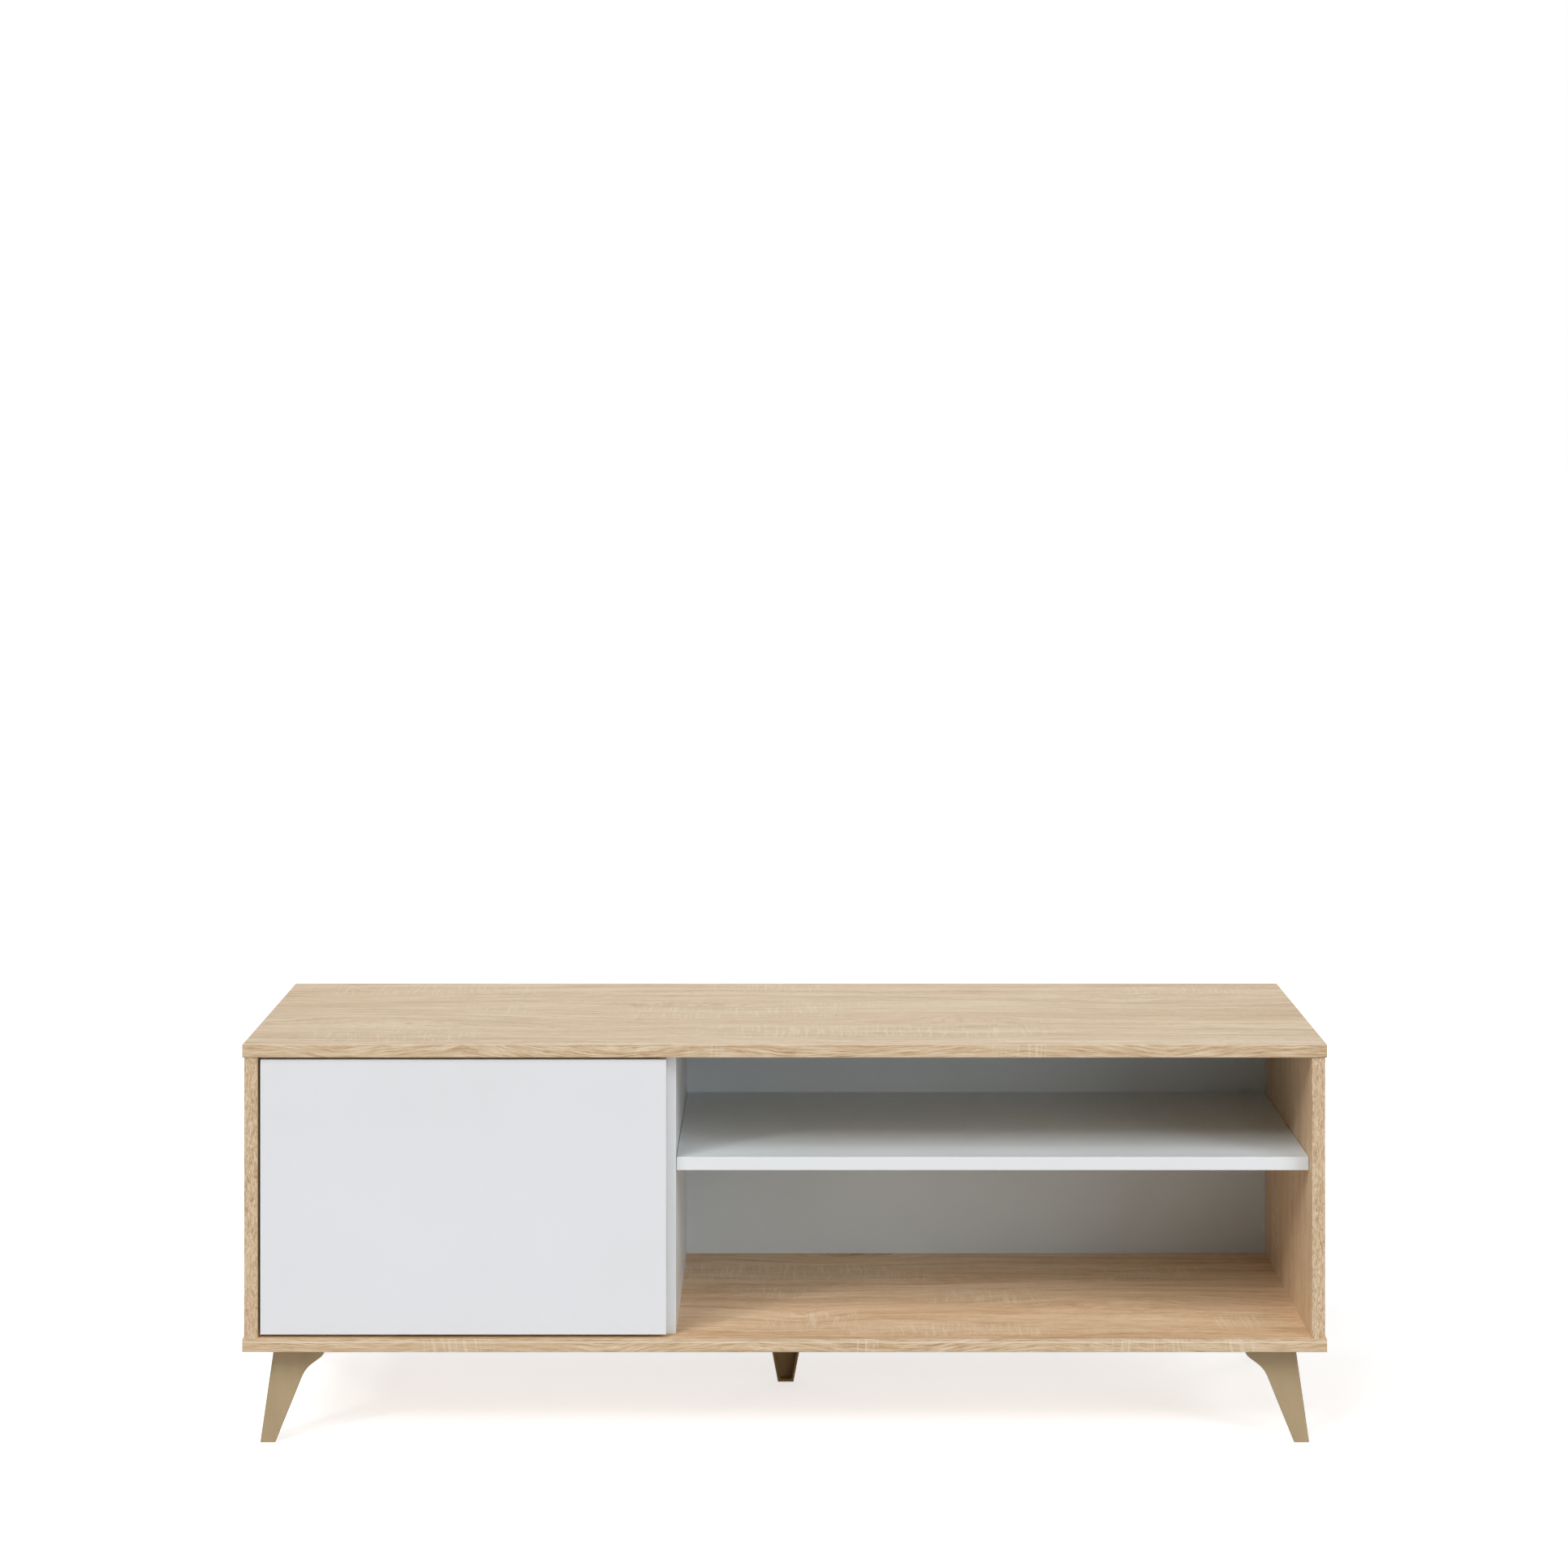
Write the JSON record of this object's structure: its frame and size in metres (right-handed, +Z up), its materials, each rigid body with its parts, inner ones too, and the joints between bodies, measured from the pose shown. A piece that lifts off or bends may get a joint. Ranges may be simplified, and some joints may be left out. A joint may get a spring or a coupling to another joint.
{
  "type": "tv stand",
  "caption": "Low tv stand in light oak effect and white, with an inset push-open door at the left, an open bay with a shelf at the right, and splayed legs.",
  "frame": {"origin": "middle of the footprint, on the floor", "axes": "+X to the right along the width, +Y to the back, +Z up"},
  "size_m": [1.3, 0.4, 0.483],
  "materials": {
    "oak_horizontal": "light oak-effect melamine, satin, grain along the length",
    "oak_vertical": "light oak-effect melamine, satin, grain upright",
    "oak_edge": "light oak-effect edge band, satin",
    "white_board": "white melamine, fine satin",
    "white_edge": "white edge band, satin",
    "white_hardboard": "white painted hardboard, matt, brown raw back",
    "beech": "plain fluted beech",
    "zinc_steel": "zinc plated",
    "zinc_alloy": "die-cast zinc",
    "nickel": "nickel plated, smooth",
    "leg_plastic": "gold-brown moulded plastic, satin",
    "grey_plastic": "light grey moulded plastic"
  },
  "bodies": {
    "carcass": {"top_panel": "oak_horizontal", "bottom_panel": "oak_horizontal", "side_panel_left": "oak_vertical", "side_panel_right": "oak_vertical", "divider_panel": "white_board", "shelf": "white_board", "back_panel": "white_hardboard", "top_edge_bands": "oak_edge", "bottom_edge_bands": "oak_edge", "side_edge_band_left": "oak_edge", "side_edge_band_right": "oak_edge", "divider_edge_band": "white_edge", "shelf_edge_band": "white_edge", "dowels": "beech", "cam_bolts": "zinc_steel", "cam_locks": "zinc_alloy", "cam_cover_caps": "oak_vertical", "confirmat_screws": "zinc_steel", "back_panel_screws": "zinc_steel", "shelf_supports": "nickel", "leg_front_left": "leg_plastic", "leg_front_right": "leg_plastic", "leg_rear_right": "leg_plastic", "leg_rear_left": "leg_plastic", "leg_centre": "leg_plastic", "leg_screws": "zinc_steel", "hinge_arm_lower": "nickel", "hinge_plate_lower": "nickel", "hinge_arm_upper": "nickel", "hinge_plate_upper": "nickel", "hinge_plate_screws": "zinc_steel", "hinge_arm_screws": "zinc_steel", "latch_housing": "grey_plastic", "latch_screws": "zinc_steel", "latch_spring": "zinc_steel"},
    "door": {"door_panel": "white_board", "door_edge_bands": "white_edge", "hinge_cup_lower": "nickel", "hinge_cup_upper": "nickel", "hinge_cup_screws": "zinc_steel", "hinge_pins": "zinc_steel", "strike_plate": "zinc_steel", "strike_screw": "zinc_steel"},
    "latch_plunger": {"latch_plunger": "grey_plastic"}
  },
  "joints": [
    {"name": "door_swing", "type": "hinge", "parent": "carcass", "child": "door", "pos_m": [-0.609, -0.1872, 0.299], "axis": [0, 0, -1], "range_deg": [0, 95]},
    {"name": "latch_press", "type": "slide", "parent": "carcass", "child": "latch_plunger", "axis": [0, 1, 0], "range_m": [0, 0.003], "stiffness_N_per_m": 400, "springref_m": -0.01}
  ]
}
